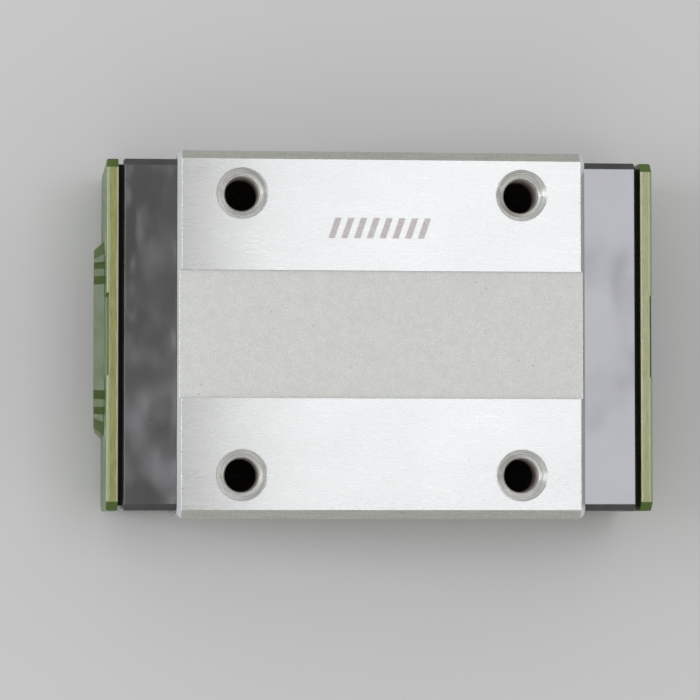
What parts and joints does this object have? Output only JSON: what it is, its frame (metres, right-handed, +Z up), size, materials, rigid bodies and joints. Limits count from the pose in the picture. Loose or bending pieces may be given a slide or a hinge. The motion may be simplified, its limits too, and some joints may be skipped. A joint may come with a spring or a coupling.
{
  "type": "linear guide carriage",
  "caption": "Low recirculating-ball carriage for a profiled rail: steel block with tapped holes in its top, plastic end caps, end and side seals.",
  "frame": {"origin": "middle of the underside of the steel legs, half way along the carriage", "axes": "+X along the rail, +Y across it towards the rear leg, +Z up, out of the mounting face"},
  "size_m": [0.053, 0.034, 0.0197],
  "materials": {
    "ground_steel": "ground pads, matte sunk strip",
    "black_plastic": "fine moulded grain",
    "plate_green": "satin, nitrile over a thin core",
    "seal_rubber": "satin",
    "guide_plastic": "satin",
    "tube_plastic": "satin",
    "retainer_plastic": "satin",
    "fastener_steel": "turned",
    "ball_steel": "polished"
  },
  "bodies": {
    "carriage": {"carriage_body": "ground_steel", "end_cap_left": "black_plastic", "end_cap_right": "black_plastic", "return_guide_left_front": "guide_plastic", "return_guide_left_rear": "guide_plastic", "return_guide_right_front": "guide_plastic", "return_guide_right_rear": "guide_plastic", "return_tube_upper_front": "tube_plastic", "return_tube_upper_rear": "tube_plastic", "return_tube_lower_front": "tube_plastic", "return_tube_lower_rear": "tube_plastic", "seal_plate_left": "plate_green", "seal_plate_right": "plate_green", "seal_lip_left": "seal_rubber", "seal_lip_right": "seal_rubber", "end_screws_left": "fastener_steel", "end_screws_right": "fastener_steel", "grease_plug_left": "fastener_steel", "grease_plug_right": "fastener_steel", "ball_retainer_upper_front": "retainer_plastic", "ball_retainer_upper_rear": "retainer_plastic", "ball_retainer_middle_front": "retainer_plastic", "ball_retainer_middle_rear": "retainer_plastic", "ball_retainer_lower_front": "retainer_plastic", "ball_retainer_lower_rear": "retainer_plastic", "side_seal_front": "seal_rubber", "side_seal_rear": "seal_rubber"},
    "loaded_balls_row_upper_front": {"loaded_balls_upper_front": "ball_steel"},
    "return_balls_row_upper_front": {"return_balls_upper_front": "ball_steel"},
    "turn_left_upper_front": {"turn_balls_left_upper_front": "ball_steel"},
    "turn_right_upper_front": {"turn_balls_right_upper_front": "ball_steel"},
    "loaded_balls_row_upper_rear": {"loaded_balls_upper_rear": "ball_steel"},
    "return_balls_row_upper_rear": {"return_balls_upper_rear": "ball_steel"},
    "turn_left_upper_rear": {"turn_balls_left_upper_rear": "ball_steel"},
    "turn_right_upper_rear": {"turn_balls_right_upper_rear": "ball_steel"},
    "loaded_balls_row_lower_front": {"loaded_balls_lower_front": "ball_steel"},
    "return_balls_row_lower_front": {"return_balls_lower_front": "ball_steel"},
    "turn_left_lower_front": {"turn_balls_left_lower_front": "ball_steel"},
    "turn_right_lower_front": {"turn_balls_right_lower_front": "ball_steel"},
    "loaded_balls_row_lower_rear": {"loaded_balls_lower_rear": "ball_steel"},
    "return_balls_row_lower_rear": {"return_balls_lower_rear": "ball_steel"},
    "turn_left_lower_rear": {"turn_balls_left_lower_rear": "ball_steel"},
    "turn_right_lower_rear": {"turn_balls_right_lower_rear": "ball_steel"}
  },
  "joints": [
    {"name": "loaded_row_upper_front", "type": "slide", "parent": "carriage", "child": "loaded_balls_row_upper_front", "axis": [1, 0, 0], "range_m": [-0.00147, 0.00147]},
    {"name": "return_row_upper_front", "type": "slide", "parent": "carriage", "child": "return_balls_row_upper_front", "axis": [1, 0, 0], "range_m": [-0.00149, 0.00149]},
    {"name": "turn_left_upper_front", "type": "hinge", "parent": "carriage", "child": "turn_left_upper_front", "pos_m": [-0.01918, -0.01015, 0.01001], "axis": [0, -0.2164, -0.9763], "range_deg": [-30.5, 30.5]},
    {"name": "turn_right_upper_front", "type": "hinge", "parent": "carriage", "child": "turn_right_upper_front", "pos_m": [0.01918, -0.01015, 0.01001], "axis": [0, -0.2164, -0.9763], "range_deg": [-30.5, 30.5]},
    {"name": "loaded_row_upper_rear", "type": "slide", "parent": "carriage", "child": "loaded_balls_row_upper_rear", "axis": [1, 0, 0], "range_m": [-0.00147, 0.00147]},
    {"name": "return_row_upper_rear", "type": "slide", "parent": "carriage", "child": "return_balls_row_upper_rear", "axis": [1, 0, 0], "range_m": [-0.00149, 0.00149]},
    {"name": "turn_left_upper_rear", "type": "hinge", "parent": "carriage", "child": "turn_left_upper_rear", "pos_m": [-0.01918, 0.01015, 0.01001], "axis": [0, -0.2164, 0.9763], "range_deg": [-30.5, 30.5]},
    {"name": "turn_right_upper_rear", "type": "hinge", "parent": "carriage", "child": "turn_right_upper_rear", "pos_m": [0.01918, 0.01015, 0.01001], "axis": [0, -0.2164, 0.9763], "range_deg": [-30.5, 30.5]},
    {"name": "loaded_row_lower_front", "type": "slide", "parent": "carriage", "child": "loaded_balls_row_lower_front", "axis": [1, 0, 0], "range_m": [-0.00147, 0.00147]},
    {"name": "return_row_lower_front", "type": "slide", "parent": "carriage", "child": "return_balls_row_lower_front", "axis": [1, 0, 0], "range_m": [-0.00149, 0.00149]},
    {"name": "turn_left_lower_front", "type": "hinge", "parent": "carriage", "child": "turn_left_lower_front", "pos_m": [-0.01918, -0.01015, 0.00419], "axis": [0, 0.2164, -0.9763], "range_deg": [-30.5, 30.5]},
    {"name": "turn_right_lower_front", "type": "hinge", "parent": "carriage", "child": "turn_right_lower_front", "pos_m": [0.01918, -0.01015, 0.00419], "axis": [0, 0.2164, -0.9763], "range_deg": [-30.5, 30.5]},
    {"name": "loaded_row_lower_rear", "type": "slide", "parent": "carriage", "child": "loaded_balls_row_lower_rear", "axis": [1, 0, 0], "range_m": [-0.00147, 0.00147]},
    {"name": "return_row_lower_rear", "type": "slide", "parent": "carriage", "child": "return_balls_row_lower_rear", "axis": [1, 0, 0], "range_m": [-0.00149, 0.00149]},
    {"name": "turn_left_lower_rear", "type": "hinge", "parent": "carriage", "child": "turn_left_lower_rear", "pos_m": [-0.01918, 0.01015, 0.00419], "axis": [0, 0.2164, 0.9763], "range_deg": [-30.5, 30.5]},
    {"name": "turn_right_lower_rear", "type": "hinge", "parent": "carriage", "child": "turn_right_lower_rear", "pos_m": [0.01918, 0.01015, 0.00419], "axis": [0, 0.2164, 0.9763], "range_deg": [-30.5, 30.5]}
  ],
  "couplings": [
    {"joint": "return_row_upper_front", "follows": "loaded_row_upper_front", "ratio": -1},
    {"joint": "turn_left_upper_front", "follows": "loaded_row_upper_front", "rad_per_m": 354.98},
    {"joint": "turn_right_upper_front", "follows": "loaded_row_upper_front", "rad_per_m": 354.98},
    {"joint": "return_row_upper_rear", "follows": "loaded_row_upper_rear", "ratio": -1},
    {"joint": "turn_left_upper_rear", "follows": "loaded_row_upper_rear", "rad_per_m": 354.98},
    {"joint": "turn_right_upper_rear", "follows": "loaded_row_upper_rear", "rad_per_m": 354.98},
    {"joint": "return_row_lower_front", "follows": "loaded_row_lower_front", "ratio": -1},
    {"joint": "turn_left_lower_front", "follows": "loaded_row_lower_front", "rad_per_m": 354.98},
    {"joint": "turn_right_lower_front", "follows": "loaded_row_lower_front", "rad_per_m": 354.98},
    {"joint": "return_row_lower_rear", "follows": "loaded_row_lower_rear", "ratio": -1},
    {"joint": "turn_left_lower_rear", "follows": "loaded_row_lower_rear", "rad_per_m": 354.98},
    {"joint": "turn_right_lower_rear", "follows": "loaded_row_lower_rear", "rad_per_m": 354.98}
  ]
}
